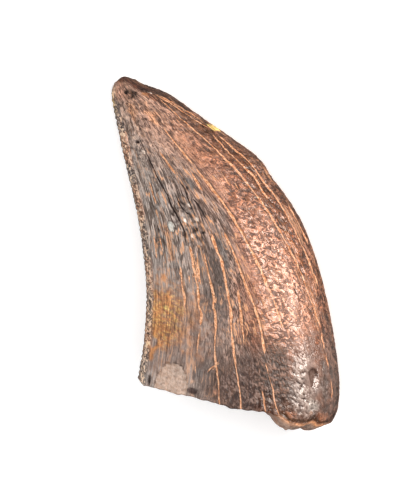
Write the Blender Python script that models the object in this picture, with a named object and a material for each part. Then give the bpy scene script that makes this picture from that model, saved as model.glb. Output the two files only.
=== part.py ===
"""Fossil tyrannosaur tooth: a broken-off crown lying on its side.

The crown is a blade that curves back from a wide base to a worn tip. It is built as
a sphere of rings whose vertices are moved onto the form: each ring of the crown is a
teardrop section between the two keels, and the last rings close the broken base.

Frame: +X is the rounded front keel, +Y the tip, +Z up from the table. The origin is
under the middle of the footprint, on the table. The named sizes are in millimetres.
A place on a face is given in shares: across it, from the rear keel to the front one,
and down it, from the tip to the broken rim.
"""
import math

import bmesh
import bpy
import numpy as np
from mathutils import Vector, noise

MM = 0.001

# The two keels seen from above, from the tip to the broken rim.
REAR_KEEL = ((-8.95, 14.92), (-9.50, 14.1), (-9.45, 11.8), (-8.52, 8.1),
             (-7.38, 2.6), (-6.72, -2.9), (-6.88, -7.2), (-7.42, -10.6))
FRONT_KEEL = ((-8.95, 14.92), (-8.55, 15.00), (-7.70, 14.72), (-6.80, 14.28),
              (-4.80, 13.48), (-2.00, 11.50), (0.90, 9.46), (2.85, 7.98), (4.05, 6.25),
              (6.10, 3.30), (7.60, -0.35), (8.75, -4.70), (9.48, -9.2), (9.64, -11.6),
              (9.47, -13.3), (9.05, -14.25))

# How far the broken rim hangs below the line between the keel ends, at shares across.
# The deep part is the lobe beside the front keel.
RIM_DROP = ((0.00, 0.00), (0.03, 0.52), (0.14, 0.50), (0.20, 0.64), (0.26, 0.50),
            (0.40, 0.60), (0.49, 0.71), (0.59, 0.56), (0.64, 0.38), (0.68, 0.44),
            (0.76, 1.16), (0.80, 1.30), (0.85, 1.20), (0.89, 0.84), (0.92, 1.02),
            (0.96, 0.80), (1.00, 0.00))
RIM_DROP_START = 0.86         # the share down the face where the rim's shape begins
LOWER_RIM_SHARE = 0.5         # how much of it the underside has

# The blade's thickness and how it stands off the table.
BASE_THICKNESS = 10.0
THICKNESS_POWER = 0.72        # thickness grows from the tip as share ** power
ARCH = 0.35                   # hollow under the middle, from the sideways curve
TWIST = 9.0                   # how far the front keel lies below the rear one, in degrees
TIP_DIP = 0.28                # how far the tip bends down to the table
RUB_DEPTH = 0.14              # worn off the underside where it touches the table

# The section: how sharp each keel is. 0 is round, 1 is a knife edge.
REAR_SHARPNESS = 0.55
FRONT_SHARPNESS_BASE = 0.0
FRONT_SHARPNESS_TIP = 0.50

# The saw edge of the rear keel.
DENTICLES = 52
PITCH_TIP = 0.510
PITCH_BASE = 0.445
NOTCH_DEPTH = 0.22
NOTCH_REACH = 0.45            # how far a notch is felt into the blade
WORN_LENGTH = 6.0             # the saw edge is worn down towards the tip
WORN_SHARE = 0.25             # what is left of a notch at the tip
SAW_END_GAP = 0.10            # between the last denticle and the rim

# Long shallow flutes down both faces.
FLUTES = 5
FLUTE_HEIGHT = 0.06

# Low forms of each face: height, then centre and half widths as shares across and
# down the face, then how sharply the edge is cut.
BESIDE_REAR_KEEL = (-0.35, (0.16, 0.60), (0.16, 0.55), 2.0)
UPPER_FORMS = (
    BESIDE_REAR_KEEL,
    (-0.25, (0.900, 0.240), (0.100, 0.200), 4.0),    # the front keel, worn flat
    (-0.30, (0.930, 0.235), (0.050, 0.022), 4.0),    # a chip out of that keel
    (-0.24, (0.280, 0.490), (0.100, 0.080), 4.0),    # flaked and pitted enamel
    (-0.28, (0.150, 1.000), (0.090, 0.055), 6.0),    # a spall at the broken rim
    (-0.22, (0.865, 0.925), (0.045, 0.022), 4.0),    # a dimple above the lobe
    (-0.14, (0.450, 0.060), (0.250, 0.025), 2.0),    # pits at the tip
)
LOWER_FORMS = (
    BESIDE_REAR_KEEL,
    (-0.20, (0.880, 0.300), (0.090, 0.160), 4.0),    # the front keel, worn flat
    (-0.20, (0.260, 0.860), (0.120, 0.070), 4.0),    # a flake off the enamel
)

# The broken base: a rough dish with the old pulp cavity in its middle, and a strip
# of the break that shows past the enamel under the lobe.
DISH_DEPTH = 0.5
PULP_DEPTH = 0.9
LUMP_HEIGHT = 0.30
LUMP_SIZE = 1.8
GRAIN_HEIGHT = 0.16
GRAIN_SIZE = 0.67
LIP_HEIGHT = 0.80
LIP_REACH = 0.33              # how far in from the rim the strip goes, as a share
LIP_BARED = 0.40              # how far the enamel stops short of the lobe's end

# Columns and rings of the mesh. The shown face has more columns than the underside.
UPPER_COLUMNS = 24
LOWER_COLUMNS = 16
COLUMNS = UPPER_COLUMNS + LOWER_COLUMNS
TIP_RINGS = 4
BREAK_RINGS = 8

ENAMEL_COLOUR = (0.235, 0.155, 0.120, 1.0)
ENAMEL_ROUGHNESS = 0.42
SHARP_EDGE = 50.0             # edges bent more than this, in degrees, stay crisp


def smooth_curve(points, steps=24):
    """A Catmull-Rom curve through the points, as a dense polyline."""
    knots = np.array(points, dtype=float)
    first = 2.0 * knots[0] - knots[1]
    last = 2.0 * knots[-1] - knots[-2]
    knots = np.vstack((first, knots, last))
    share = np.linspace(0.0, 1.0, steps, endpoint=False)[:, None]
    spans = []
    for a, b, c, d in zip(knots, knots[1:], knots[2:], knots[3:]):
        slope = c - a
        bend = 2.0 * a - 5.0 * b + 4.0 * c - d
        turn = 3.0 * b - a - 3.0 * c + d
        spans.append(0.5 * (2.0 * b + slope * share + bend * share ** 2 + turn * share ** 3))
    spans.append(knots[-2][None])
    return np.vstack(spans)


def lengths_along(curve):
    """The distance of each point of a polyline from its start."""
    steps = np.linalg.norm(np.diff(curve, axis=0), axis=1)
    return np.concatenate(([0.0], np.cumsum(steps)))


def point_at(curve, lengths, share):
    """The point at a share of a polyline's length."""
    reach = share * lengths[-1]
    x = np.interp(reach, lengths, curve[:, 0])
    y = np.interp(reach, lengths, curve[:, 1])
    return np.array((x, y))


def smoothstep(low, high, value):
    """0 below low, 1 above high, and an even blend between."""
    share = min(max((value - low) / (high - low), 0.0), 1.0)
    return share * share * (3.0 - 2.0 * share)


REAR = smooth_curve(REAR_KEEL)
REAR_LENGTHS = lengths_along(REAR)
FRONT = smooth_curve(FRONT_KEEL)
FRONT_LENGTHS = lengths_along(FRONT)


def ring_shares():
    """How far down the crown each ring lies, as a share.

    Two rings make one denticle: the first at its crest, the next in the notch.
    """
    saw = []
    for half in range(2 * DENTICLES + 1):
        count = half / 2.0
        narrowing = (PITCH_TIP - PITCH_BASE) * count * count / (2.0 * DENTICLES)
        saw.append(count * PITCH_TIP - narrowing)
    start = REAR_LENGTHS[-1] - saw[-1] - SAW_END_GAP
    saw = [(start + place) / REAR_LENGTHS[-1] for place in saw]
    tip = [saw[0] * (ring / (TIP_RINGS + 1.0)) ** 1.6 for ring in range(1, TIP_RINGS + 1)]
    return tip + saw + [1.0]


def section(turn, down):
    """Half the blade's thickness at a turn round a ring, as a share of its most.

    The turn is 0 at the rear keel and pi at the front keel.
    """
    rear = 1.0 + REAR_SHARPNESS
    front = 1.0 + FRONT_SHARPNESS_TIP + (FRONT_SHARPNESS_BASE - FRONT_SHARPNESS_TIP) * down
    most = (rear / (rear + front)) ** (rear / 2.0) * (front / (rear + front)) ** (front / 2.0)
    return math.sin(turn / 2.0) ** rear * math.cos(turn / 2.0) ** front / most


def notch(ring, down, distance):
    """How far a notch of the saw edge pushes a point in from the rear keel."""
    in_notch = ring > TIP_RINGS and (ring - TIP_RINGS) % 2 == 0
    if not in_notch:
        return 0.0
    left = smoothstep(0.0, WORN_LENGTH, down * REAR_LENGTHS[-1])
    depth = NOTCH_DEPTH * (WORN_SHARE + (1.0 - WORN_SHARE) * left)
    return depth * math.exp(-(distance / NOTCH_REACH) ** 2)


def relief(across, down, upper):
    """Low hollows and flutes of one face, in millimetres out from the blade."""
    height = FLUTE_HEIGHT * math.cos(across * 2.0 * math.pi * FLUTES)
    height *= smoothstep(0.1, 0.4, down)
    for form_height, centre, half_widths, cut in UPPER_FORMS if upper else LOWER_FORMS:
        u = (across - centre[0]) / half_widths[0]
        v = (down - centre[1]) / half_widths[1]
        height += form_height * math.exp(-(u * u + v * v) ** (cut / 2.0))
    return height


def lobe(across):
    """1 in the middle of the lobe at the front of the rim, 0 away from it."""
    return smoothstep(0.66, 0.76, across) * (1.0 - smoothstep(0.95, 1.00, across))


def crown_point(ring, down, turn, upper):
    """A point of the crown, in millimetres."""
    rear = point_at(REAR, REAR_LENGTHS, down)
    front = point_at(FRONT, FRONT_LENGTHS, down)
    chord = float(np.linalg.norm(front - rear))
    across = (1.0 - math.cos(turn)) / 2.0
    distance = across * chord
    pushed = (distance + notch(ring, down, distance)) / chord
    x, y = rear + (front - rear) * pushed

    thickness = BASE_THICKNESS * down ** THICKNESS_POWER
    middle = thickness / 2.0 + ARCH * math.sin(math.pi * down) - TIP_DIP * (1.0 - down)
    middle -= math.tan(math.radians(TWIST)) * (across - 0.5) * chord
    face = section(turn, down)
    fade = smoothstep(0.0, 0.1, down) * min(2.0 * face, 1.0)
    half = face * thickness / 2.0 + relief(across, down, upper) * fade
    z = middle + half if upper else middle - half

    drop = np.interp(across, *zip(*RIM_DROP)) - LIP_BARED * lobe(across)
    if not upper:
        drop *= LOWER_RIM_SHARE
    y -= drop * smoothstep(RIM_DROP_START, 1.0, down)
    return Vector((x, y, z))


def break_point(inward, turn, upper, rim_middle):
    """A point of the broken base, from the rim at inward 0 to the middle at 1."""
    rim = crown_point(0, 1.0, turn, upper)
    point = rim.lerp(rim_middle, inward)
    dish = DISH_DEPTH * (1.0 - (1.0 - inward) ** 2)
    pulp = PULP_DEPTH * smoothstep(0.50, 0.80, inward)
    rough = LUMP_HEIGHT * noise.noise(point / LUMP_SIZE)
    rough += GRAIN_HEIGHT * noise.noise(point / GRAIN_SIZE)
    rough *= smoothstep(0.0, 0.2, inward) * (1.0 - inward)
    lip = 0.0
    if upper:
        across = (1.0 - math.cos(turn)) / 2.0
        swell = math.sin(math.pi * min(inward / LIP_REACH, 1.0))
        lip = LIP_HEIGHT * lobe(across) * swell
    point.y += dish + pulp + rough - lip
    return point


def place_of_column(angle):
    """A column's turn round the tooth, and whether it is on the upper face."""
    column = round(angle * COLUMNS / (2.0 * math.pi)) % COLUMNS
    if column <= UPPER_COLUMNS:
        return math.pi * column / UPPER_COLUMNS, True
    return math.pi * (COLUMNS - column) / LOWER_COLUMNS, False


def rest_on_table(bm):
    """Centre the form over the origin and rub its underside flat at the table."""
    lowest = min(vert.co.z for vert in bm.verts)
    xs = [vert.co.x for vert in bm.verts]
    ys = [vert.co.y for vert in bm.verts]
    for vert in bm.verts:
        vert.co.x -= (min(xs) + max(xs)) / 2.0
        vert.co.y -= (min(ys) + max(ys)) / 2.0
        vert.co.z = max(vert.co.z - lowest - RUB_DEPTH, 0.0)


def tooth_mesh():
    """The whole tooth as one closed mesh, in metres."""
    shares = ring_shares()
    crown_rings = len(shares)
    rings = crown_rings + BREAK_RINGS
    bm = bmesh.new()
    bmesh.ops.create_uvsphere(bm, u_segments=COLUMNS, v_segments=rings + 1, radius=1.0)

    places = [place_of_column(2.0 * math.pi * column / COLUMNS) for column in range(COLUMNS)]
    rim = [crown_point(0, 1.0, turn, upper) for turn, upper in places]
    rim_middle = sum(rim, Vector()) / COLUMNS
    for vert in bm.verts:
        height = max(-1.0, min(1.0, vert.co.z))
        ring = round((rings + 1) * math.acos(height) / math.pi)
        turn, upper = place_of_column(math.atan2(vert.co.y, vert.co.x) % (2.0 * math.pi))
        if ring == 0:
            vert.co = Vector((*REAR_KEEL[0], -TIP_DIP))
        elif ring <= crown_rings:
            vert.co = crown_point(ring, shares[ring - 1], turn, upper)
        else:
            inward = (ring - crown_rings) / (BREAK_RINGS + 1.0)
            vert.co = break_point(inward, turn, upper, rim_middle)

    rest_on_table(bm)
    bmesh.ops.scale(bm, vec=(MM, MM, MM), verts=bm.verts)
    bmesh.ops.triangulate(bm, faces=bm.faces)
    bmesh.ops.recalc_face_normals(bm, faces=bm.faces)
    mesh = bpy.data.meshes.new("tooth")
    bm.to_mesh(mesh)
    bm.free()
    mesh.shade_smooth()
    mesh.set_sharp_from_angle(angle=math.radians(SHARP_EDGE))
    return mesh


def enamel():
    """Mineralised enamel: grey-brown, with a dull gloss."""
    material = bpy.data.materials.new("fossil_enamel")
    material.use_nodes = True
    shader = material.node_tree.nodes["Principled BSDF"]
    shader.inputs["Base Color"].default_value = ENAMEL_COLOUR
    shader.inputs["Roughness"].default_value = ENAMEL_ROUGHNESS
    shader.inputs["Metallic"].default_value = 0.0
    return material


for leftover in list(bpy.data.objects):
    bpy.data.objects.remove(leftover, do_unlink=True)

collection = bpy.data.collections.new("fossil_tyrannosaur_tooth")
bpy.context.scene.collection.children.link(collection)

tooth = bpy.data.objects.new("tooth", tooth_mesh())
tooth.data.materials.append(enamel())
collection.objects.link(tooth)
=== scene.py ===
import math

import bmesh
import bpy
import numpy as np
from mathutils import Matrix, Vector, noise


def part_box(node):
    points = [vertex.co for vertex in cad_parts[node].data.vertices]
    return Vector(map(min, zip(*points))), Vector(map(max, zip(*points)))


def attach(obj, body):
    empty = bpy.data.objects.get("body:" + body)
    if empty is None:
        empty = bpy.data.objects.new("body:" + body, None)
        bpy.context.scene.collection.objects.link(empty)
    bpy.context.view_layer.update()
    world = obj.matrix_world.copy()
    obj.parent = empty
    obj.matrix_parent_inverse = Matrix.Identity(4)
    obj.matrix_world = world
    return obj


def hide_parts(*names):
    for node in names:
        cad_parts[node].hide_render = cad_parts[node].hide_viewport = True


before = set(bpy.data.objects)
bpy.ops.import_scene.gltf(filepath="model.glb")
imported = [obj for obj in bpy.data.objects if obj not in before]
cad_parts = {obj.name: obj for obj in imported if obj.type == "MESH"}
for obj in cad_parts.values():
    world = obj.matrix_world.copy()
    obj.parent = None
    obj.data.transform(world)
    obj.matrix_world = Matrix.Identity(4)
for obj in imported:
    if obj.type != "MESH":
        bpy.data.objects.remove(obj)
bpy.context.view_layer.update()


# ---------------------------------------------------------------- the tooth
# A shed side tooth of a tyrannosaur, turned to stone: a curved blade of enamel over
# dentine, with a saw edge down its rear keel. It broke off across the base and lies
# on its flatter face, so the break, the worn tip and the belly are all in the open.

MM = 0.001

# The two keels seen from above, from the tip to the broken rim, in millimetres.
REAR_KEEL = ((-8.95, 14.92), (-9.55, 14.25), (-9.68, 13.4), (-9.38, 11.6), (-8.64, 8.1),
             (-7.38, 2.6), (-6.72, -2.9), (-6.88, -7.2), (-7.42, -10.6))
FRONT_KEEL = ((-8.95, 14.92), (-8.55, 15.00), (-7.70, 14.72), (-6.80, 14.28),
              (-4.80, 13.48), (-2.00, 11.50), (0.90, 9.46), (2.85, 7.98), (4.05, 6.25),
              (6.10, 3.30), (7.60, -0.35), (8.75, -4.70), (9.48, -9.2), (9.64, -11.6),
              (9.47, -13.3), (9.05, -14.25))

# How far the broken rim hangs below the line between the keel ends, at shares across.
RIM_DROP = ((0.00, 0.00), (0.03, 0.52), (0.14, 0.50), (0.20, 0.64), (0.26, 0.50),
            (0.40, 0.60), (0.49, 0.71), (0.59, 0.56), (0.64, 0.38), (0.68, 0.44),
            (0.76, 1.16), (0.80, 1.30), (0.85, 1.20), (0.89, 0.84), (0.92, 1.02),
            (0.96, 0.80), (1.00, 0.00))
RIM_DROP_START = 0.86
LOWER_RIM_SHARE = 0.5

CROWN_LENGTH = 30.0
BASE_THICKNESS = 10.0
THICKNESS_POWER = 0.72        # thickness grows from the tip as share ** power
ARCH = 0.35                   # hollow under the middle, from the sideways curve
TWIST = 9.0                   # how far the front keel lies below the rear one, in degrees
TIP_DIP = 0.28                # how far the tip bends down to the table
RUB_DEPTH = 0.14              # worn off the underside where it touches the table

# How sharp each keel is: 0 is round, and 1 is a knife edge.
REAR_SHARPNESS = 0.55
FRONT_SHARPNESS_BASE = 0.0
FRONT_SHARPNESS_TIP = 0.50

# The saw edge, whose pitch shrinks a little towards the base.
DENTICLES = 52
PITCH_TIP = 0.510
PITCH_BASE = 0.445
SAW_END_GAP = 0.10            # between the last denticle and the rim
WORN_LENGTH = 6.0             # the saw edge is worn down towards the tip

# The mesh: columns round the blade, and rings along it and over the break.
UPPER_COLUMNS = 172
LOWER_COLUMNS = 78
COLUMNS = UPPER_COLUMNS + LOWER_COLUMNS
COLUMN_CROWDING = 0.22        # columns lie closer towards the keels
TIP_RINGS = 14
TIP_CROWDING = 1.6            # rings lie closer towards the tip
RINGS_PER_DENTICLE = 6
BREAK_RINGS = 44


def blend(low, high, value):
    """0 below low, 1 above high, and an even blend between."""
    share = np.clip((value - low) / (high - low), 0.0, 1.0)
    return share * share * (3.0 - 2.0 * share)


def smooth_curve(points, steps=24):
    """A Catmull-Rom curve through the points, as a dense polyline."""
    knots = np.array(points, dtype=float)
    knots = np.vstack((2.0 * knots[0] - knots[1], knots, 2.0 * knots[-1] - knots[-2]))
    share = np.linspace(0.0, 1.0, steps, endpoint=False)[:, None]
    spans = []
    for a, b, c, d in zip(knots, knots[1:], knots[2:], knots[3:]):
        bend = 2.0 * a - 5.0 * b + 4.0 * c - d
        twist = 3.0 * b - a - 3.0 * c + d
        spans.append(0.5 * (2.0 * b + (c - a) * share + bend * share ** 2 + twist * share ** 3))
    spans.append(knots[-2][None])
    return np.vstack(spans)


def lengths_along(curve):
    steps = np.linalg.norm(np.diff(curve, axis=0), axis=1)
    return np.concatenate(([0.0], np.cumsum(steps)))


def point_at(curve, share):
    """The points at shares of a polyline's length, as x and y."""
    lengths = lengths_along(curve)
    reach = np.asarray(share) * lengths[-1]
    return np.interp(reach, lengths, curve[:, 0]), np.interp(reach, lengths, curve[:, 1])


REAR = smooth_curve(REAR_KEEL)
FRONT = smooth_curve(FRONT_KEEL)
REAR_LENGTH = lengths_along(REAR)[-1]
FRONT_LENGTH = lengths_along(FRONT)[-1]


def place(across, down):
    """A place on a face seen from above, in millimetres, also just past the rim."""
    across, down = np.asarray(across, dtype=float), np.asarray(down, dtype=float)
    rear_x, rear_y = point_at(REAR, down)
    front_x, front_y = point_at(FRONT, down)
    below = CROWN_LENGTH * np.maximum(down - 1.0, 0.0)
    return rear_x + (front_x - rear_x) * across, rear_y + (front_y - rear_y) * across - below


# The grid: rings from the tip to the middle of the break, columns round the blade.
saw_count = np.arange(DENTICLES * RINGS_PER_DENTICLE + 1) / RINGS_PER_DENTICLE
saw_reach = saw_count * PITCH_TIP - (PITCH_TIP - PITCH_BASE) * saw_count ** 2 / (2 * DENTICLES)
saw_start = REAR_LENGTH - saw_reach[-1] - SAW_END_GAP
saw_down = (saw_start + saw_reach) / REAR_LENGTH
tip_down = saw_down[0] * (np.arange(1, TIP_RINGS + 1) / (TIP_RINGS + 1.0)) ** TIP_CROWDING
crown_down = np.concatenate((tip_down, saw_down, [1.0]))
crown_rings = len(crown_down)
rings = crown_rings + BREAK_RINGS
rim_ring = crown_rings - 1

every_column = np.ones(COLUMNS)
down = np.concatenate((crown_down, np.ones(BREAK_RINGS)))[:, None] * every_column
inward = np.arange(1, BREAK_RINGS + 1) / (BREAK_RINGS + 1.0)
inward = np.concatenate((np.zeros(crown_rings), inward))[:, None] * every_column
denticle = np.concatenate((np.full(TIP_RINGS, -1.0), saw_count, np.full(1 + BREAK_RINGS, -1.0)))
denticle = denticle[:, None] * every_column
on_crown = inward == 0.0

column = np.arange(COLUMNS)
upper = column <= UPPER_COLUMNS
turn_share = np.where(upper, column / UPPER_COLUMNS, (COLUMNS - column) / LOWER_COLUMNS)
turn = math.pi * turn_share + COLUMN_CROWDING * np.sin(2.0 * math.pi * turn_share)
turn = np.ones((rings, 1)) * turn
upper = np.ones((rings, 1), dtype=bool) * upper
side = np.where(upper, 1.0, -1.0)
across = (1.0 - np.cos(turn)) / 2.0


def grain(points, size, octaves=3, seed=0.0):
    """Seeded noise at every point of the grid, from about -1 to 1."""
    scaled = np.stack([part.ravel() for part in points], 1) / size + seed
    values = [noise.fractal(Vector(spot), 1.0, 2.0, octaves) for spot in scaled]
    return np.array(values).reshape(across.shape)


# The blade: teardrop sections between the keels.
rear_x, rear_y = point_at(REAR, down)
front_x, front_y = point_at(FRONT, down)
chord = np.hypot(front_x - rear_x, front_y - rear_y)
rear_power = 1.0 + REAR_SHARPNESS
front_power = 1.0 + FRONT_SHARPNESS_TIP + (FRONT_SHARPNESS_BASE - FRONT_SHARPNESS_TIP) * down
both = rear_power + front_power
most = (rear_power / both) ** (rear_power / 2) * (front_power / both) ** (front_power / 2)
fullness = np.sin(turn / 2) ** rear_power * np.abs(np.cos(turn / 2)) ** front_power / most
thickness = BASE_THICKNESS * down ** THICKNESS_POWER
middle = thickness / 2.0 + ARCH * np.sin(math.pi * down) - TIP_DIP * (1.0 - down)
middle -= math.tan(math.radians(TWIST)) * (across - 0.5) * chord

# The lobe at the front of the base, and the worn rim.
LOBE_START = (0.66, 0.76)
LOBE_END = (0.95, 1.00)
LIP_BARED = 0.40              # how far the enamel stops short of the lobe's end
RIM_WEAR = 0.05
FINE_RIM_WEAR = 0.02
lobe = blend(*LOBE_START, across) * (1.0 - blend(*LOBE_END, across))
drop = np.interp(across, *zip(*RIM_DROP)) - LIP_BARED * lobe
drop = np.where(upper, drop, drop * LOWER_RIM_SHARE) * blend(RIM_DROP_START, 1.0, down)
rim_wear = RIM_WEAR * np.sin(across * 61.0 + side) * np.sin(across * 23.0)
rim_wear += FINE_RIM_WEAR * np.sin(across * 137.0)
drop += rim_wear * blend(0.97, 1.0, down) * np.sin(turn)
face_length = REAR_LENGTH + (FRONT_LENGTH - REAR_LENGTH) * across
seen_down = down + drop / face_length

# Where each point lies along and round the blade, in millimetres, for what follows
# the growth of the enamel.
BREAK_LENGTH = 6.0            # how much further the break counts as being
strand = np.stack(((across - 0.5) * chord * (1.0 - inward),
                   side * np.sin(turn) * thickness / 2.0 * (1.0 - inward),
                   CROWN_LENGTH * down + BREAK_LENGTH * inward), -1)
strand_parts = np.moveaxis(strand, -1, 0)

# The lines of the enamel swing towards the front keel as they run down: how fast, at
# shares across, and the lane that each point is in.
LANES_WIDTH = 16.0
SWING_START = 0.36
SWING = ((0.00, 0.02), (0.20, 0.02), (0.30, 0.06), (0.40, 0.18), (0.50, 0.38), (0.60, 0.52),
         (0.70, 0.55), (0.80, 0.45), (0.90, 0.25), (0.97, 0.06), (1.00, 0.02))
share = np.linspace(0.0, 1.0, 400)
swung = np.cumsum(1.0 / np.interp(share, *zip(*SWING))) / len(share)
unswung = np.interp(across, share, swung) - np.maximum(down - SWING_START, 0.0)
lane = np.interp(unswung, swung, share)
lane = np.stack((LANES_WIDTH * (lane - 0.5) * (1.0 - inward), strand[..., 1], strand[..., 2]), -1)
lane_parts = np.moveaxis(lane, -1, 0)
lane_share = lane_parts[0] / LANES_WIDTH + 0.5
lane_width = np.interp(across, *zip(*SWING)) / np.interp(lane_share, *zip(*SWING))
spread = blend(1.0, 2.0, lane_width) * on_crown

# Two sizes of slow change, which make every patch and tint uneven.
CLOUD_SIZE = 2.2
WISP_SIZE = 0.55
clouds = grain(strand_parts, CLOUD_SIZE, 3, 7.0)
wisps = grain(strand_parts, WISP_SIZE, 3, 31.0)


def form(height, centre, half_widths, cut):
    """A low form of the face: its height at its centre, none past its half widths."""
    u = (across - centre[0]) / half_widths[0]
    v = (seen_down - centre[1]) / half_widths[1]
    return height * np.exp(-(u * u + v * v) ** (cut / 2.0))


THOUSAND = 1000.0
shown = upper & on_crown


def blot(middle_across, middle_down, wide, long, edge=0.35, ragged=0.3):
    """How far each point of the shown face is inside a ragged patch, from 0 to 1. Its
    middle and its half widths are in thousandths of the face."""
    u = (across - middle_across / THOUSAND) / (wide / THOUSAND)
    v = (seen_down - middle_down / THOUSAND) / (long / THOUSAND)
    reach = np.hypot(u, v) + ragged * (clouds * 0.5 + wisps)
    return (1.0 - blend(1.0 - edge, 1.0 + edge, reach)) * shown


# Low forms of the faces: height, centre, half widths and how sharply each is cut.
FLUTES = 5
FLUTE_HEIGHT = 0.06
BESIDE_REAR_KEEL = (-0.35, (0.16, 0.60), (0.16, 0.55), 2.0)
UPPER_FORMS = (
    (-0.25, (0.900, 0.240), (0.100, 0.200), 4.0),    # the front keel, worn flat
    (-0.30, (0.930, 0.235), (0.050, 0.022), 4.0),    # a chip out of that keel
    (-0.20, (0.280, 0.490), (0.100, 0.080), 4.0),    # flaked and pitted enamel
    (-0.12, (0.150, 1.000), (0.090, 0.055), 6.0),    # a spall at the broken rim
    (-0.14, (0.450, 0.060), (0.250, 0.025), 2.0),    # pits at the tip
)
LOWER_FORMS = (
    (-0.20, (0.880, 0.300), (0.090, 0.160), 4.0),    # the front keel, worn flat
    (-0.20, (0.260, 0.860), (0.120, 0.070), 4.0),    # a flake off the enamel
)
low_forms = FLUTE_HEIGHT * np.cos(across * 2.0 * math.pi * FLUTES) * blend(0.1, 0.4, down)
low_forms += form(*BESIDE_REAR_KEEL)
low_forms += np.where(upper, sum(form(*row) for row in UPPER_FORMS),
                      sum(form(*row) for row in LOWER_FORMS))

# The saw edge: worn chisel-shaped denticles, their gaps packed with stone out to
# just inside the keel, and a slanting slot between each two on both faces.
SLOT_LEAN = 0.9
SLOT_MIDDLES = (0.35, 0.65)   # where in its pitch a slot lies, from the least to the most
SLOT_WIDTHS = (0.10, 0.20)
SLOT_ENDS = (0.20, 0.42)      # how far in from the keel a slot runs
edge_distance = across * chord
in_saw = on_crown & (denticle >= 0.0)
slot_turn = denticle - SLOT_LEAN * edge_distance


def luck(seed):
    """A number from 0 to 1 for each gap of each face."""
    return np.abs(np.sin(np.floor(slot_turn) * 12.9898 + side * 4.1 + seed) * 43758.5453) % 1.0


def between(limits, seed):
    return limits[0] + (limits[1] - limits[0]) * luck(seed)


worn = blend(0.0, WORN_LENGTH, down * REAR_LENGTH)
slot_middle = between(SLOT_MIDDLES, 1.0)
slot_width = between(SLOT_WIDTHS, 2.0)
slot_end = between(SLOT_ENDS, 3.0)
slot = np.exp(-((slot_turn % 1.0 - slot_middle) / slot_width) ** 2) * in_saw
slot *= blend(0.03, 0.12, edge_distance) * (1.0 - blend(slot_end, slot_end + 0.14, edge_distance))
slot *= (0.15 + 0.85 * worn) * blend(-0.1, 0.8, luck(4.0) + 0.5 * clouds)
gap = np.exp(-(((denticle % 1.0) - 0.5) / 0.2) ** 2) * in_saw
gap_depth = (0.03 + 0.05 * worn) * (0.7 + 0.9 * wisps)
pushed = (edge_distance + gap * gap_depth * np.exp(-(edge_distance / 0.30) ** 2)) / chord

x = rear_x + (front_x - rear_x) * np.minimum(pushed, np.maximum(across, 0.5))
y = rear_y + (front_y - rear_y) * np.minimum(pushed, np.maximum(across, 0.5)) - drop
fade = blend(0.0, 0.1, down) * np.minimum(fullness * 2.0, 1.0)
half = fullness * thickness / 2.0 + low_forms * fade
z = middle + side * half

# The break: a rough dish round the old pulp cavity, which stone has filled, and a
# strip of bare dentine under the lobe.
LIP_HEIGHT = 0.80
LIP_REACH = 0.33              # how far in from the rim the strip goes, as a share
DISH_DEPTH = 0.5
PULP_DEPTH = 0.9
PULP_EDGE = (0.50, 0.80)
LUMP_HEIGHT, LUMP_SIZE = 0.30, 1.8
GRAIN_HEIGHT, GRAIN_SIZE = 0.16, 0.67
rim = np.stack((x[rim_ring], y[rim_ring], z[rim_ring]), 1)
rim_middle = rim.mean(0)
for ring in range(crown_rings, rings):
    x[ring], y[ring], z[ring] = (rim + (rim_middle - rim) * inward[ring, 0]).T
lip = lobe * np.sin(math.pi * np.minimum(inward / LIP_REACH, 1.0)) * LIP_HEIGHT * upper
dish = DISH_DEPTH * (1.0 - (1.0 - inward) ** 2) + PULP_DEPTH * blend(*PULP_EDGE, inward)
lumps = LUMP_HEIGHT * grain((x, y, z), LUMP_SIZE, 1)
lumps += GRAIN_HEIGHT * grain((x, y, z), GRAIN_SIZE, 2)
lumps *= blend(0.0, 0.2, inward) * (1.0 - inward)
y = y + np.where(on_crown, 0.0, dish + lumps - lip)

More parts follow.
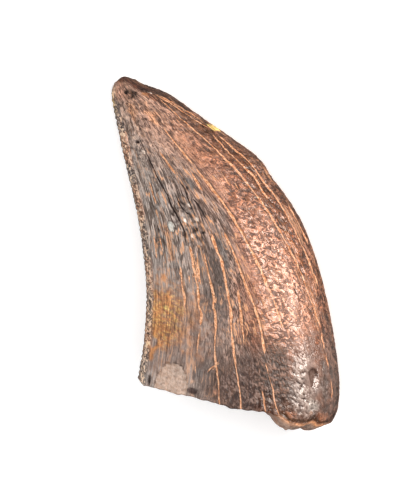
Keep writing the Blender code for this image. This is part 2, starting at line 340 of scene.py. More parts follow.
# The lines of the shown face, from the tip down. Seams are cracks that ran full of
# orange iron; the open ones stayed dark. A row has how strong its line is, and then
# its places in pairs, as thousandths across and down the face.
SEAMS = (
    (0.9, 335, 280, 345, 330, 360, 370),
    (0.9, 520, 210, 520, 300, 525, 350),
    (0.8, 470, 365, 487, 420, 490, 430),
    (1.0, 520, 355, 560, 425, 583, 475, 610, 545, 643, 613, 670, 665, 680, 700),
    (0.5, 680, 690, 700, 730, 720, 780, 735, 800),
    (1.0, 510, 545, 533, 613, 563, 700, 587, 745, 607, 800, 617, 840, 620, 870),
    (0.5, 622, 885, 640, 920, 663, 950, 690, 985, 728, 1020),
    (0.6, 610, 955, 635, 985, 652, 1020),
    (1.0, 433, 545, 437, 600, 450, 630, 457, 760, 453, 800, 463, 882, 490, 946, 510, 980,
     530, 1030),
    (0.9, 283, 575, 287, 700, 285, 750, 297, 780, 287, 815),
    (0.7, 310, 610, 307, 700),
    (0.5, 287, 820, 279, 850, 275, 880, 273, 935, 280, 955),
    (0.5, 400, 905, 350, 925, 330, 945),
    (0.8, 207, 635, 203, 700, 210, 740, 203, 770),
    (0.6, 247, 660, 247, 700),
    (0.8, 357, 600, 370, 720, 363, 750, 373, 790, 363, 885, 387, 945, 420, 1030),
    (0.5, 385, 720, 380, 750),
    (0.5, 493, 775, 490, 825),
    (0.7, 510, 700, 510, 760, 513, 810, 516, 855),
    (0.4, 80, 530, 80, 620),
    (0.5, 145, 360, 145, 450),
    (0.4, 115, 540, 120, 600),
    (0.65, 793, 120, 790, 178, 783, 230, 790, 285, 775, 352, 797, 400, 823, 480, 843, 550,
     870, 618, 893, 670, 903, 720, 917, 740, 930, 790),
    (0.5, 930, 795, 935, 820, 937, 845),
    (0.6, 938, 848, 946, 870, 950, 885),
    (0.6, 953, 905, 960, 930, 962, 955),
    (0.6, 900, 262, 880, 287, 857, 317, 843, 352, 873, 400, 883, 425, 873, 450, 877, 478),
    (0.6, 933, 270, 913, 328, 913, 376, 927, 433, 930, 495, 937, 565, 953, 630, 970, 700),
    (0.45, 978, 490, 978, 560, 986, 598),
    (0.6, 820, 100, 860, 150, 900, 205, 930, 250),
    (0.5, 860, 110, 920, 165, 960, 220),
    (0.4, 720, 190, 730, 260),
    (0.4, 650, 190, 653, 230),
    (0.5, 727, 412, 730, 445),
    (0.5, 680, 370, 685, 430),
)
CRACKS = (
    (1.0, 212, 222, 217, 302, 217, 367, 240, 426, 240, 455, 257, 490, 273, 535, 277, 562),
    (0.9, 360, 385, 372, 420, 365, 455, 368, 500),
    (0.8, 293, 420, 300, 460, 320, 480),
    (0.8, 307, 475, 330, 488, 350, 490),
    (0.9, 395, 440, 413, 460, 430, 510),
    (0.8, 385, 405, 400, 415),
    (0.7, 117, 500, 117, 540),
    (0.6, 145, 395, 145, 412),
    (0.6, 730, 100, 765, 160, 775, 220),
    (0.6, 600, 655, 605, 680),
    (0.6, 825, 690, 835, 720),
)

random = np.random.default_rng(4)


def wander(start, steps, lean):
    """A line of a hidden face: it runs down the blade and sways a little."""
    a, d = start
    spots = []
    for _ in range(steps):
        spots += [a, d]
        a = min(max(a + random.normal(lean, 0.008), 0.02), 0.98)
        d = min(d + random.uniform(0.025, 0.05), 1.0)
    return spots


def hidden_lines(count, strength):
    """Lines for the underside, each with its strength first."""
    lines = []
    for _ in range(count):
        start = (random.uniform(0.05, 0.97), random.uniform(0.08, 0.80))
        steps = int(random.integers(3, 11))
        lines.append((strength * random.uniform(0.5, 1.0), *wander(start, steps, 0.004)))
    return lines


under_seams = hidden_lines(34, 1.0)
under_cracks = hidden_lines(9, 0.9)

SWAY = 0.04                   # how far a line strays from its track
LINE_REACH = 0.8              # how far from a line its distance is worked out
TAPER = 0.5                   # how long its thin ends are


def lay_lines(lines, where, nearest):
    """Keep, at each point, its nearest line: signed distance, distance and strength."""
    signed, plain, strong = nearest
    for strength, *spots in lines:
        track = smooth_curve(np.stack(place(spots[::2], spots[1::2]), 1), 8)
        sway = np.array([noise.noise(Vector((*spot * 1.6, strength))) for spot in track])
        sway += 0.7 * np.array([noise.noise(Vector((*spot * 4.0, 3.0))) for spot in track])
        heading = np.gradient(track, axis=0)
        heading /= np.linalg.norm(heading, axis=1, keepdims=True)
        track += SWAY * sway[:, None] * heading[:, ::-1] * (1.0, -1.0)
        along = lengths_along(track)
        low, high = track.min(0) - LINE_REACH, track.max(0) + LINE_REACH
        close = where & (x > low[0]) & (x < high[0]) & (y > low[1]) & (y < high[1])
        spots_near = np.stack((x[close], y[close]), 1)
        best = np.full(len(spots_near), 9.0)
        best_signed, best_strong = best.copy(), best.copy()
        for index, (start, end) in enumerate(zip(track, track[1:])):
            step = end - start
            share = np.clip((spots_near - start) @ step / (step @ step), 0.0, 1.0)
            offset = spots_near - start - share[:, None] * step
            distance = np.hypot(*offset.T)
            closer = distance < best
            turned = np.sign(step[0] * offset[:, 1] - step[1] * offset[:, 0])
            reach = along[index] + share * (along[index + 1] - along[index])
            taper = blend(0.0, TAPER, reach) * blend(0.0, TAPER, along[-1] - reach)
            best = np.where(closer, distance, best)
            best_signed = np.where(closer, distance * turned, best_signed)
            best_strong = np.where(closer, strength * taper, best_strong)
        nearer = best < plain[close]
        for kept, new in ((signed, best_signed), (plain, best), (strong, best_strong)):
            kept[close] = np.where(nearer, new, kept[close])


def fresh_lines():
    return [np.full(across.shape, 2.0), np.full(across.shape, 2.0), np.zeros(across.shape)]


seams = fresh_lines()
cracks = fresh_lines()
for rows, nearest in ((SEAMS, seams), (CRACKS, cracks)):
    lay_lines([(row[0], *np.divide(row[1:], THOUSAND)) for row in rows], shown, nearest)
lay_lines(under_seams, ~upper & on_crown, seams)
lay_lines(under_cracks, ~upper & on_crown, cracks)


def around_grid(values):
    wrapped = np.concatenate((values[:, -1:], values, values[:, :1]), 1)
    return (wrapped[:, 2:] - wrapped[:, :-2]) / 2.0


# Outward normals of the smooth form, for the relief that follows.
smooth_form = (x, y, z)
down_slope = np.stack([np.gradient(part, axis=0) for part in smooth_form], -1)
round_slope = np.stack([around_grid(part) for part in smooth_form], -1)
normal = np.cross(down_slope, round_slope)
normal /= np.maximum(np.linalg.norm(normal, axis=-1, keepdims=True), 1e-12)
outward = np.sign((normal[..., 2] * side)[on_crown].sum())
normal *= outward

# Where the enamel is wrinkled, flaked, glossy or ridged, from 0 to 1.
front_skin = blend(0.50, 0.68, across + 0.06 * clouds) * blend(0.10, 0.25, down) * on_crown
flaked = np.maximum(blot(300, 495, 75, 60), 0.8 * blot(330, 575, 50, 30))
spall = blot(165, 1010, 80, 80, 0.05, 0.08)
spall_edge_shade = 4.0 * spall * (1.0 - spall)
ridged = blot(836, 928, 70, 80, 0.5, 0.2)
dull = blot(670, 910, 80, 85, 0.5, 0.4)
calm = np.maximum(blot(880, 840, 40, 35), blot(885, 945, 25, 14))
calm = np.maximum(calm, blot(866, 905, 34, 30))

# The relief: slanting wrinkles over the front third, fine strands down the rest,
# crumpled ridges on the lobe, grooves for the lines, and what has flaked away.
WRINKLE_HEIGHT = 0.034
STRAND_HEIGHT = 0.034
PEBBLE_HEIGHT = 0.018
WEATHERED_PEBBLES = 0.040
RIDGE_HEIGHT = 0.078
CRINKLE_HEIGHT = 0.020
SEAM_DEPTH, SEAM_REACH = 0.040, 0.11
CRACK_DEPTH, CRACK_REACH = 0.055, 0.07
SLOT_DEPTH = 0.130
SPALL_DEPTH = 0.10
FLAKE_DEPTH = 0.07
FLAKE_LUMPS = 0.14


def crests(points, size, octaves, seed):
    """Sharp crests with round hollows between, from about -1 to 1."""
    return 1.0 - 3.0 * np.abs(grain(points, size, octaves, seed))


slant = np.radians(-25.0 - 38.0 * blend(0.50, 0.68, down))
beside, above = x - 4.0, y + 2.0
slanted = (0.45 * (beside * np.cos(slant) + above * np.sin(slant)),
           above * np.cos(slant) - beside * np.sin(slant), 0.5 * z)
wrinkles = crests(slanted, 0.42, 3, 11.0)
strands = grain((lane_parts[0], lane_parts[1], lane_parts[2] * 0.14), 0.30, 3, 5.0)
pebbles = grain(strand_parts, 0.30, 2, 17.0)
warp = 0.35 * grain((x, y, z), 0.8, 2, 61.0)
crumple = crests((x + warp, y - warp, z), 0.34, 2, 23.0)
weathered = (1.0 - blend(0.20, 0.42, down + 0.05 * clouds)) * on_crown
glossy = np.maximum(front_skin * (1.0 - calm), 0.15 * on_crown) * (1.0 - 0.70 * dull)

relief = WRINKLE_HEIGHT * wrinkles * glossy * (1.0 - ridged)
relief += STRAND_HEIGHT * strands * (1.0 - front_skin) * (1.0 - 0.6 * weathered) * on_crown
relief += (PEBBLE_HEIGHT + WEATHERED_PEBBLES * weathered) * pebbles * (1.0 - calm)
relief += crumple * (RIDGE_HEIGHT * ridged + CRINKLE_HEIGHT * dull) * (1.0 - calm)
relief -= SEAM_DEPTH * seams[2] * np.exp(-(seams[1] / SEAM_REACH) ** 2)
relief -= CRACK_DEPTH * cracks[2] * np.exp(-(cracks[1] / CRACK_REACH) ** 2)
relief -= SLOT_DEPTH * slot
relief -= SPALL_DEPTH * spall
relief += FLAKE_LUMPS * np.abs(wisps) * flaked - FLAKE_DEPTH * flaked

# Pits: place, radius and depth in millimetres.
PITS = (
    ((0.175, 0.238), 0.15, 0.14), ((0.070, 0.168), 0.16, 0.12), ((0.250, 0.110), 0.10, 0.06),
    ((0.100, 0.105), 0.10, 0.06), ((0.375, 0.070), 0.16, 0.12), ((0.480, 0.078), 0.15, 0.12),
    ((0.540, 0.082), 0.14, 0.10), ((0.420, 0.092), 0.13, 0.10), ((0.345, 0.535), 0.16, 0.12),
    ((0.300, 0.520), 0.14, 0.12), ((0.265, 0.545), 0.16, 0.12), ((0.380, 0.545), 0.12, 0.10),
    ((0.330, 0.515), 0.10, 0.10), ((0.220, 0.525), 0.12, 0.08), ((0.390, 0.410), 0.15, 0.08),
)
pit_depth = np.zeros(across.shape)
for spot, radius, depth in PITS:
    pit_x, pit_y = place(*spot)
    reach = np.hypot(x - pit_x, y - pit_y) / radius + 0.25 * pebbles
    pit_depth = np.maximum(pit_depth, depth * np.exp(-reach ** 4) * shown)
relief -= pit_depth

# The dimple on the lobe: a teardrop, point down, sunk under a sharp upper rim.
DIMPLE_ACROSS, DIMPLE_DOWN = 0.866, 0.906
DIMPLE_DEPTH = 0.16
dimple_across = (across - DIMPLE_ACROSS) / (0.024 - 0.012 * blend(0.90, 0.95, seen_down))
dimple_down = (seen_down - DIMPLE_DOWN) / np.where(seen_down < DIMPLE_DOWN, 0.020, 0.040)
dimple_reach = np.hypot(dimple_across, dimple_down)
dimple = 1.0 - blend(0.60, 1.05, dimple_reach)
relief -= DIMPLE_DEPTH * dimple * shown

# Notches in the broken rim of the shown face: place across, half width and depth.
RIM_NOTCHES = ((0.050, 0.008, 0.35), (0.275, 0.025, 0.20), (0.60, 0.012, 0.10))
for spot, half_width, depth in RIM_NOTCHES:
    bite = np.exp(-((across - spot) / half_width) ** 4) * blend(0.975, 1.0, down) * shown
    relief -= depth * bite

CHIP_HEIGHT = 0.05
relief *= blend(0.0, 0.02, down)
roughened = np.stack(smooth_form, -1) + normal * relief[..., None]
chips = CHIP_HEIGHT * grain((x, y, z), 0.35, 2, 41.0) * blend(0.0, 0.08, inward)
roughened[..., 1] += np.where(on_crown, 0.0, chips)

# A sphere of rings is moved onto the form.
tooth_bm = bmesh.new()
bmesh.ops.create_uvsphere(tooth_bm, u_segments=COLUMNS, v_segments=rings + 1, radius=1.0)
tooth_mesh = bpy.data.meshes.new("fossil_tooth")
tooth_bm.to_mesh(tooth_mesh)
tooth_bm.free()
vertex_count = len(tooth_mesh.vertices)
sphere = np.empty(vertex_count * 3)
tooth_mesh.vertices.foreach_get("co", sphere)
sphere = sphere.reshape(-1, 3)
polar = np.arccos(np.clip(sphere[:, 2], -1.0, 1.0))
sphere_ring = np.rint((rings + 1) * polar / math.pi).astype(int)
sphere_turn = np.arctan2(sphere[:, 1], sphere[:, 0]) % (2.0 * math.pi)
sphere_column = np.rint(sphere_turn * COLUMNS / (2.0 * math.pi)).astype(int) % COLUMNS
grid_ring = np.clip(sphere_ring - 1, 0, rings - 1)


def on_vertices(values):
    """A grid's values at the mesh's vertices; a pole takes its ring's mean."""
    taken = values[grid_ring, sphere_column]
    taken[sphere_ring == 0] = values[0].mean(0)
    taken[sphere_ring == rings + 1] = values[-1].mean(0)
    return taken


placed = on_vertices(roughened)
placed[:, 2] = np.maximum(placed[:, 2] - placed[:, 2].min() - RUB_DEPTH, 0.0)
low, high = np.array(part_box("tooth")) / MM
placed[:, :2] += ((low + high) / 2.0 - (placed.min(0) + placed.max(0)) / 2.0)[:2]
tooth_mesh.vertices.foreach_set("co", (placed * MM).ravel())
closed = bmesh.new()
closed.from_mesh(tooth_mesh)
bmesh.ops.recalc_face_normals(closed, faces=closed.faces)
closed.to_mesh(tooth_mesh)
closed.free()
tooth_mesh.shade_smooth()


# The stone's colours.
def paint(code):
    """A colour written as six hex digits, as linear red, green and blue."""
    values = np.array([int(code[start:start + 2], 16) for start in (0, 2, 4)]) / 255.0
    return np.where(values > 0.04045, ((values + 0.055) / 1.055) ** 2.4, values / 12.92)


ASH = paint("a0958e")
FAWN = paint("a08578")
ROSE = paint("a6735c")
RUSSET = paint("90583a")
UMBER = paint("4a3226")
SLATE = paint("5b5755")
RUST = paint("a56b3c")
OCHRE = paint("cc8645")
YELLOW = paint("f6da80")
BONE = paint("bb9b86")
PEARL = paint("b0a29b")
PEACH = paint("cf9473")
MAROON = paint("3c1c14")
PITCH = paint("26110a")
HAIR = paint("e6a676")
BISTRE = paint("35200f")
BLUSH = paint("c09079")
FROST = paint("e0bfa2")
CHALK = paint("e6d8cc")
SILVER = paint("b9b9b2")

tint = np.ones((*across.shape, 3)) * ASH


def stain(colour, amount):
    """Take the tint of every point part of the way to a colour."""
    global tint
    amount = np.clip(amount, 0.0, 1.0)[..., None]
    tint = tint + (colour - tint) * amount


# The ground: grey behind, rose in front, brown at the keels, the tip and the foot, and painted
# shade on the front keel's outer edge.
stain(FAWN, blend(0.15, 0.55, across + 0.10 * clouds))
stain(FAWN, (1.0 - blend(0.05, 0.35, down + 0.05 * clouds)) * 0.7)
stain(ROSE, blend(0.48, 0.66, across + 0.08 * clouds) * blend(0.12, 0.35, down))
stain(RUSSET, blend(0.82, 0.90, across + 0.04 * clouds))
# Painted shade: the front keel's outer edge darkens where it turns away from the light.
stain(UMBER, 0.75 * blend(0.94, 0.99, across + 0.02 * clouds))
stain(RUSSET, 0.6 * (1.0 - blend(0.02, 0.05, down)))
stain(BLUSH, 0.35 * weathered * blend(0.1, 0.3, across))
stain(UMBER, 0.90 * blend(0.62, 0.80, across + 0.05 * clouds) * (1.0 - blend(0.09, 0.16, down)))
stain(UMBER, 0.55 * blend(0.80, 0.97, down + 0.03 * clouds) * blend(0.2, 0.4, across))

# Painted shade in the hollows of the relief, and painted highlights on its crests.
stain(BISTRE, 0.45 * weathered * blend(-0.10, -0.5, pebbles))
stain(FROST, 0.25 * weathered * blend(0.20, 0.6, pebbles))
wrinkled = glossy * (1.0 - blend(0.0, 0.3, ridged))
stain(BISTRE, 0.55 * wrinkled * blend(0.15, -0.55, wrinkles))
stain(PEACH, 0.35 * wrinkled * blend(0.35, 0.85, wrinkles))

# Stains of the shown face, and two patches of painted sheen: colour, amount, and then what blot
# takes.
STAINS = (
    (UMBER, 0.90, 500, 955, 180, 85, 0.30, 0.35),
    (UMBER, 0.95, 660, 910, 85, 85, 0.40, 0.40),
    (MAROON, 0.70, 690, 930, 45, 60, 0.40, 0.60),
    (UMBER, 0.80, 570, 840, 80, 50, 0.40, 0.50),
    (MAROON, 0.70, 570, 985, 50, 25, 0.40, 0.40),
    (MAROON, 0.50, 470, 985, 40, 20, 0.40, 0.40),
    (SLATE, 0.80, 463, 610, 32, 45, 0.30, 0.30),
    (SLATE, 0.85, 421, 403, 34, 20, 0.25, 0.25),
    (SLATE, 0.80, 412, 700, 34, 110, 0.40, 0.50),
    (SLATE, 0.80, 345, 750, 40, 60, 0.40, 0.50),
    (SLATE, 0.70, 300, 935, 50, 35, 0.40, 0.50),
    (UMBER, 0.40, 100, 890, 120, 40, 0.50, 0.60),
    (SLATE, 0.60, 475, 575, 22, 50, 0.40, 0.50),
    (SLATE, 0.50, 550, 520, 18, 40, 0.40, 0.50),
    (ROSE, 0.70, 610, 640, 60, 130, 0.60, 0.40),
    (UMBER, 0.35, 390, 720, 90, 180, 0.60, 0.50),
    (FAWN, 0.70, 150, 830, 220, 140, 0.60, 0.60),
    (UMBER, 0.30, 200, 880, 200, 70, 0.60, 0.60),
    (RUST, 0.60, 140, 790, 150, 80, 0.60, 0.90),
    (OCHRE, 0.80, 60, 790, 55, 70, 0.50, 0.90),
    (OCHRE, 0.60, 165, 560, 15, 60, 0.50, 0.60),
    (OCHRE, 0.75, 105, 678, 14, 14, 0.40, 0.50),
    (YELLOW, 1.00, 105, 766, 11, 6, 0.40, 0.30),
    (OCHRE, 0.80, 30, 905, 30, 25, 0.40, 0.60),
    (YELLOW, 0.90, 22, 885, 10, 6, 0.40, 0.30),
    (BONE, 0.95, 165, 1010, 82, 82, 0.06, 0.08),
    (PEACH, 0.90, 385, 988, 10, 7, 0.40, 0.50),
    (RUST, 0.50, 250, 160, 22, 18, 0.50, 0.50),
    (PEACH, 0.45, 560, 300, 60, 50, 0.60, 0.60),
    (MAROON, 0.85, 750, 40, 110, 22, 0.40, 0.50),
    (MAROON, 0.85, 450, 10, 450, 14, 0.50, 0.50),
    (RUST, 0.60, 300, 22, 160, 14, 0.50, 0.60),
    (UMBER, 0.60, 450, 77, 120, 14, 0.40, 0.80),
    (RUST, 0.80, 690, 98, 75, 12, 0.40, 0.40),
    (SLATE, 0.50, 890, 170, 30, 60, 0.40, 0.50),
    (UMBER, 0.60, 885, 315, 22, 40, 0.30, 0.40),
    (UMBER, 0.65, 880, 300, 120, 240, 0.60, 0.50),
    (MAROON, 0.85, 600, 24, 280, 14, 0.50, 0.30),
    (MAROON, 0.90, 770, 56, 130, 26, 0.40, 0.30),
    (RUSSET, 0.45, 400, 16, 260, 16, 0.40, 0.80),
    (RUSSET, 0.35, 780, 52, 120, 24, 0.40, 0.80),
    (BISTRE, 0.60, 430, 72, 130, 24, 0.30, 0.90),
    (RUSSET, 0.70, 730, 110, 70, 18, 0.30, 0.60),
    (MAROON, 0.60, 850, 130, 70, 24, 0.30, 0.90),
    (MAROON, 0.90, 890, 95, 150, 55, 0.40, 0.40),
    (BISTRE, 0.50, 920, 140, 110, 50, 0.50, 0.50),
    (BLUSH, 0.60, 250, 60, 160, 30, 0.60, 0.50),
    (RUSSET, 0.60, 580, 770, 100, 100, 0.50, 0.50),
    (UMBER, 0.40, 400, 690, 50, 60, 0.60, 0.50),
    # Painted sheen: two pale pink patches where the highlight lies on the front third.
    (BLUSH, 0.70, 740, 680, 90, 150, 0.60, 0.40),
    (BLUSH, 0.90, 800, 740, 110, 90, 0.60, 0.40),
    (UMBER, 0.80, 930, 130, 90, 60, 0.40, 0.40),
    (HAIR, 0.50, 300, 130, 60, 20, 0.60, 0.90),
    (HAIR, 0.50, 500, 170, 60, 30, 0.60, 0.90),
    (UMBER, 0.50, 885, 400, 22, 50, 0.40, 0.50),
    (FROST, 0.90, 30, 55, 40, 22, 0.40, 0.30),
    (YELLOW, 0.70, 16, 100, 20, 35, 0.40, 0.40),
    (SLATE, 0.55, 865, 840, 30, 35, 0.40, 0.30),
    (UMBER, 0.55, 800, 925, 100, 85, 0.40, 0.40),
    (BISTRE, 0.55, 665, 920, 80, 70, 0.40, 0.60),
    (UMBER, 0.80, 760, 980, 70, 30, 0.40, 0.50),
    (BISTRE, 0.75, 630, 970, 110, 35, 0.40, 0.50),
    (PITCH, 0.50, 560, 990, 80, 30, 0.40, 0.60),
    (UMBER, 0.45, 450, 955, 60, 40, 0.40, 0.60),
    (SILVER, 0.60, 862, 975, 25, 15, 0.30, 0.30),
    (RUST, 0.90, 862, 990, 7, 4, 0.30, 0.20),
    (UMBER, 0.50, 925, 920, 15, 60, 0.50, 0.50),
    (SLATE, 0.55, 960, 890, 70, 130, 0.50, 0.50),
    (PITCH, 0.75, 199, 519, 25, 22, 0.15, 0.08),
    (SILVER, 1.00, 200, 518, 18, 16, 0.15, 0.06),
    (PITCH, 0.90, 52, 996, 9, 16, 0.25, 0.20),
    (MAROON, 0.90, 272, 1000, 30, 9, 0.25, 0.30),
    (BISTRE, 0.75, 930, 228, 40, 16, 0.25, 0.30),
    (YELLOW, 1.00, 968, 249, 32, 14, 0.25, 0.50),
)

# Where the skin is plain, with little grain of its own: the spall, the lower rear
# half, the lobe, the foot, and the slate and silver patches.
lower_rear = blend(0.55, 0.75, down) * (1.0 - blend(0.38, 0.48, across))
plain = np.maximum(0.95 * spall, 0.50 * lower_rear)
plain = np.maximum(plain, 0.70 * blot(880, 930, 120, 130, 0.4, 0.3))
plain = np.maximum(plain, 0.35 * blot(600, 950, 160, 90, 0.4, 0.4))
for colour, amount, *numbers in STAINS:
    patch = amount * blot(*numbers)
    stain(colour, patch)
    if (colour is SLATE and numbers[0] < 900) or colour is SILVER:
        plain = np.maximum(plain, 0.60 * patch)

# Crumbly ochre beside the saw edge, then the spall, the foot and the lobe.
ochre = blot(90, 790, 110, 75, 0.6, 0.7)
stain(OCHRE, 0.60 * ochre * blend(0.15, 0.50, crumple))
stain(YELLOW, 0.45 * ochre * blend(0.65, 0.85, crumple + 0.3 * wisps))
stain(UMBER, 0.50 * ochre * blend(-0.10, -0.45, crumple))
stain(CHALK, 0.25 * spall * blend(0.20, 0.55, crumple))
stain(UMBER, 0.40 * spall * blend(-0.20, -0.55, pebbles))
foot = blot(580, 960, 180, 85, 0.4, 0.5)
stain(BISTRE, 0.35 * foot)
stain(MAROON, 0.50 * foot)
stain(FAWN, 0.40 * foot * blend(0.55, 0.75, crumple))
stain(PITCH, 0.60 * foot * blend(-0.05, -0.45, crumple))
stain(PITCH, blend(0.015, 0.06, pit_depth))
# Painted shade along the edge of the sunken spall.
stain(UMBER, 0.85 * spall_edge_shade)
stain(BISTRE, 0.45 * dull)
stain(MAROON, 0.30 * dull * blend(0.0, 0.4, wisps))
# Painted highlights on the crests of the dull patch's crinkles, and painted shade in their
# hollows.
stain(PEACH, 0.25 * dull * blend(0.55, 0.80, crumple))
stain(PITCH, 0.50 * dull * blend(-0.05, -0.55, crumple))
# The lobe's ridges: a silvery wash, partly its colour and partly painted sheen, with painted
# highlights on the crests and painted shade in the hollows.
stain(PEARL, ridged * 0.45)
stain(CHALK, 0.40 * ridged * (1.0 - calm) * blend(0.35, 0.85, crumple + 0.3 * wisps))
stain(PITCH, 0.85 * ridged * (1.0 - calm) * blend(0.10, -0.50, crumple))
# Painted shade in the dimple, and a dark arch of painted shadow under its upper rim.
stain(UMBER, 0.60 * dimple * shown)
dimple_rim_shade = np.exp(-((dimple_reach - 0.92) / 0.16) ** 2) * (1.0 - blend(0.900, 0.912, seen_down))
stain(PITCH, 0.90 * dimple_rim_shade * shown)
stain(PITCH, 0.80 * flaked * blend(0.05, 0.30, -wisps))
stain(BONE, 0.45 * flaked * blend(0.20, 0.6, wisps))

# Painted glints: bright white spots where small crystals in the flaked patches catch the light,
# and one more near the tip.
GLINT_SPOTS = ((370, 505), (294, 504), (358, 460), (316, 552), (200, 275), (780, 96))
for spot in GLINT_SPOTS:
    stain(CHALK * 1.25, blot(*spot, 10, 6, 0.40, 0.10))

# The saw edge's stones: dark slots, orange and grey between them.
strip = 0.26 + 0.22 * worn
saw_skin = (1.0 - blend(strip, strip + 0.16, edge_distance + 0.10 * wisps)) * in_saw
saw_skin *= (0.4 + 0.6 * worn) * (1.0 - blend(0.30, 0.75, slot)) * blend(0.02, 0.08, edge_distance)
saw_iron = blend(-0.25, 0.25, np.sin(down * 31.0) * 0.35 + clouds)
stain(PITCH, 0.90 * blend(0.30, 0.75, slot))
stain(UMBER, 0.7 * (1.0 - blend(0.02, 0.08, edge_distance)) * on_crown)
inner_line = np.exp(-((edge_distance - strip - 0.10 - 0.10 * wisps) / 0.06) ** 2) * in_saw
stain(PEACH, 0.70 * inner_line * saw_iron)

# The break: a thin dark skin of enamel, brown dentine in rings, grey stone inside.
DENTINE = paint("8a6f60")
MATRIX = paint("857b72")
broken = ~on_crown
stain(DENTINE, broken * blend(0.0, 0.05, inward))
growth_rings = blend(0.1, 0.7, np.sin(inward * 60.0 + 3.0 * clouds))
stain(RUSSET, 0.5 * broken * growth_rings * blend(0.03, 0.1, inward))
bared = lobe * upper * broken * (1.0 - blend(0.15, 0.30, inward))
stain(BONE, 0.6 * bared * blend(-0.3, 0.3, wisps))
stain(MATRIX, broken * blend(0.52, 0.60, inward + 0.04 * clouds))
stain(UMBER, broken * 0.6 * blend(0.1, 0.6, wisps))

# The lobe's rim: a pale edge, and a dark band just above it.
rim_reach = np.where(on_crown, (1.0 - down) * face_length, inward * 5.0)
lobe_edge = blend(0.69, 0.73, across) * (1.0 - blend(0.965, 0.985, across)) * upper
band = blend(0.10, 0.22, rim_reach) * (1.0 - blend(0.35, 0.60, rim_reach + 0.2 * wisps))
stain(BISTRE, 0.80 * lobe_edge * on_crown * band)
stain(HAIR, lobe_edge * np.exp(-(rim_reach / 0.11) ** 2) * (0.75 + 0.5 * wisps))

# How dull each point is, and how many hairlines it has.
roughness = 0.48 - 0.22 * front_skin + 0.18 * dull - 0.10 * ridged - 0.08 * calm
roughness += 0.15 * broken + 0.1 * flaked
roughness += 0.08 * (1.0 - blend(0.08, 0.14, down)) + 0.2 * blend(0.90, 0.98, across)
hairs = blend(0.03, 0.10, across) * (1.0 - blend(0.55, 0.75, across)) * blend(0.15, 0.4, down)
hairs = np.maximum(hairs, 0.8 * blot(140, 790, 160, 80, 0.5, 0.5))
hairs = np.maximum(hairs, 0.35 + 0.30 * blend(0.82, 0.88, across))
hairs *= 1.0 - 0.9 * blend(0.80, 0.88, down) * blend(0.25, 0.45, across)
finish = np.stack((roughness, hairs * on_crown, plain), -1)

# Which grain the enamel shows: winding near the tip, across the lines in front, and
# along the lines over the rest. The foot and the lobe are too worn to show it.
worn_foot = np.maximum(0.9 * blot(600, 960, 180, 105, 0.30, 0.30), ridged)
front_grain = front_skin * (1.0 - weathered)
line_grain = (1.0 - front_skin) * (1.0 - weathered) * on_crown
grain_shares = np.stack((weathered, front_grain, line_grain), -1) * (1.0 - worn_foot)[..., None]

tint_layer = tooth_mesh.color_attributes.new("tint", "FLOAT_COLOR", "POINT")
tint_values = np.column_stack((on_vertices(tint), np.ones(vertex_count)))
tint_layer.data.foreach_set("color", tint_values.ravel())
for name, grid in (("strand", strand), ("lane", lane), ("finish", finish), ("grain", grain_shares),
                   ("spread", np.stack((spread, saw_skin, saw_iron * saw_skin), -1)),
                   ("seam", np.stack(seams, -1)), ("crack", np.stack(cracks, -1))):
    layer = tooth_mesh.attributes.new(name, "FLOAT_VECTOR", "POINT")
    layer.data.foreach_set("vector", on_vertices(grid).ravel())

# The bake's own map: columns across it, rings down it.
loop_count = len(tooth_mesh.loops)
loop_vertex = np.empty(loop_count, dtype=int)
tooth_mesh.loops.foreach_get("vertex_index", loop_vertex)
face_start = np.empty(len(tooth_mesh.polygons), dtype=int)
face_total = np.empty(len(tooth_mesh.polygons), dtype=int)
tooth_mesh.polygons.foreach_get("loop_start", face_start)
tooth_mesh.polygons.foreach_get("loop_total", face_total)
loop_face = np.repeat(np.arange(len(face_start)), face_total)
loop_column = sphere_column[loop_vertex].astype(float)
loop_ring = sphere_ring[loop_vertex].astype(float)
is_pole = (loop_ring == 0) | (loop_ring == rings + 1)
highest = np.maximum.reduceat(np.where(is_pole, 0, loop_column), face_start)[loop_face]
loop_column[(highest == COLUMNS - 1) & (loop_column == 0) & ~is_pole] = COLUMNS
not_pole = np.where(is_pole, 0.0, loop_column)
face_middle = np.add.reduceat(not_pole, face_start) / np.add.reduceat(~is_pole * 1.0, face_start)
loop_column = np.where(is_pole, face_middle[loop_face], loop_column)
bake_map = tooth_mesh.uv_layers.new(name="OFBake")
bake_uv = np.stack((loop_column / COLUMNS, 1.0 - loop_ring / (rings + 1.0)), 1)
bake_map.data.foreach_set("uv", (0.004 + 0.992 * bake_uv).ravel())

# The enamel: stained stone with strands, seams and hairlines, and a dull gloss.
ENAMEL_IOR = 1.80
enamel = bpy.data.materials.new("fossil_enamel")
enamel.use_nodes = True
nodes = enamel.node_tree.nodes
links = enamel.node_tree.links
shader = nodes["Principled BSDF"]


def feed(socket, value):
    """Link a socket, or set it; a colour is given without its opacity."""
    if isinstance(value, bpy.types.NodeSocket):
        links.new(value, socket)
    elif socket.type == "RGBA":
        socket.default_value = (*value, 1.0)
    else:
        socket.default_value = value


def calc(operation, *values):
    node = nodes.new("ShaderNodeMath")
    node.operation = operation
    for socket, value in zip(node.inputs, values):
        feed(socket, value)
    return node.outputs[0]


def chain(operation, total, *values):
    for value in values:
        total = calc(operation, total, value)
    return total


def plus(*values):
    return chain("ADD", *values)


def less(*values):
    return chain("SUBTRACT", *values)


def times(*values):
    return chain("MULTIPLY", *values)


def ramp(value, low, high, start=0.0, end=1.0):
    """A value carried smoothly from one range to another."""
    node = nodes.new("ShaderNodeMapRange")
    node.interpolation_type = "SMOOTHSTEP"
    for name, part in (("Value", value), ("From Min", low), ("From Max", high),
                       ("To Min", start), ("To Max", end)):
        feed(node.inputs[name], part)
    return node.outputs[0]


